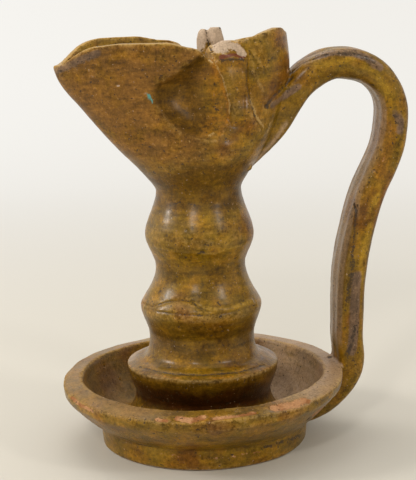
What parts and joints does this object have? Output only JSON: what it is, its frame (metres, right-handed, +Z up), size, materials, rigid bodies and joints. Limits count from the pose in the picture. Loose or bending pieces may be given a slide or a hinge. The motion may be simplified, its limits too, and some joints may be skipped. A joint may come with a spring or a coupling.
{
  "type": "oil lamp on a high foot",
  "caption": "Glazed pottery oil lamp on a high foot: drip saucer, turned stem, pinched open bowl with a long spout, and a strap handle from bowl to saucer.",
  "frame": {"origin": "middle of the flat underside, on the axis of the stem", "axes": "+Z up along the stem, -X towards the spout, +X towards the handle"},
  "size_m": [0.1541, 0.123, 0.1791],
  "materials": {
    "lamp": "ochre to olive-brown lead glaze, worn to bare clay on the rims"
  },
  "bodies": {
    "root": {"lamp": "lamp"}
  },
  "joints": []
}
